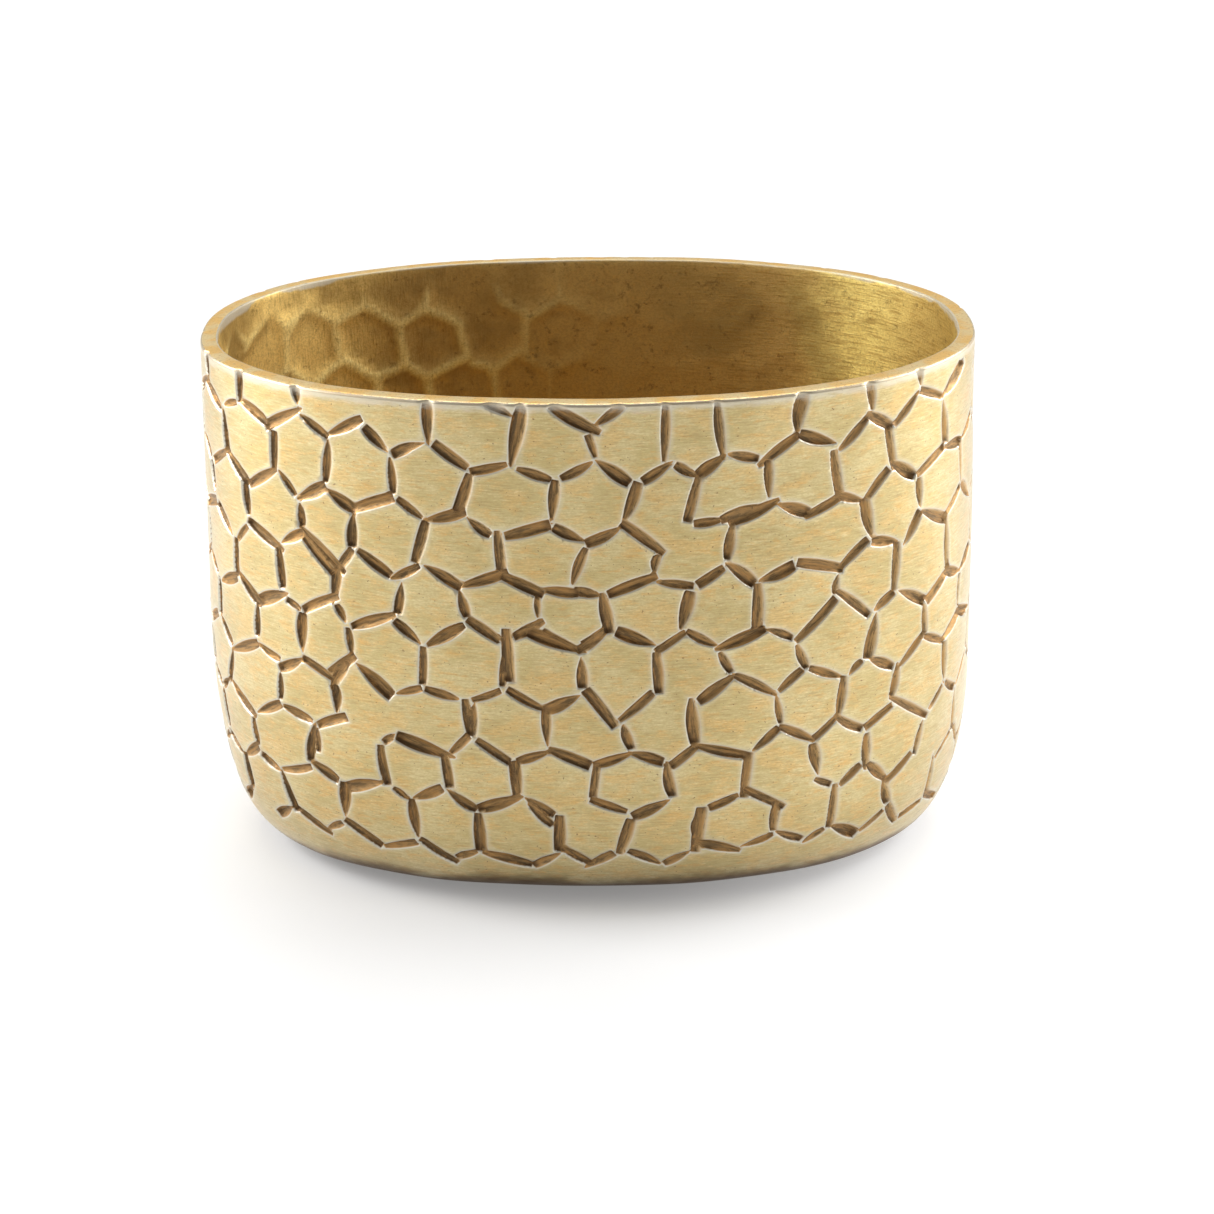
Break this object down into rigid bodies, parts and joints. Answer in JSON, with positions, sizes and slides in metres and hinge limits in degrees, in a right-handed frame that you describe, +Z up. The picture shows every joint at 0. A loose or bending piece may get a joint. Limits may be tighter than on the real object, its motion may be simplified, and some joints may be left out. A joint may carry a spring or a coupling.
{
  "type": "oval planter pot",
  "caption": "Oval cast brass planter pot, open at the top, with a flat rim, a rounded bottom edge, chiselled honeycomb walls and felt pads under its base.",
  "frame": {"origin": "centre of the footprint, on the surface that the pads stand on", "axes": "+Z up, +X along the pot's length, +Y across its width"},
  "size_m": [0.2322, 0.1542, 0.159],
  "materials": {
    "brass": "satin, brushed on its high faces with brown patina in the chisel marks",
    "felt": "matt felt"
  },
  "bodies": {
    "root": {"pot_body": "brass", "felt_pad_front_left": "felt", "felt_pad_back_left": "felt", "felt_pad_front_right": "felt", "felt_pad_back_right": "felt"}
  },
  "joints": []
}
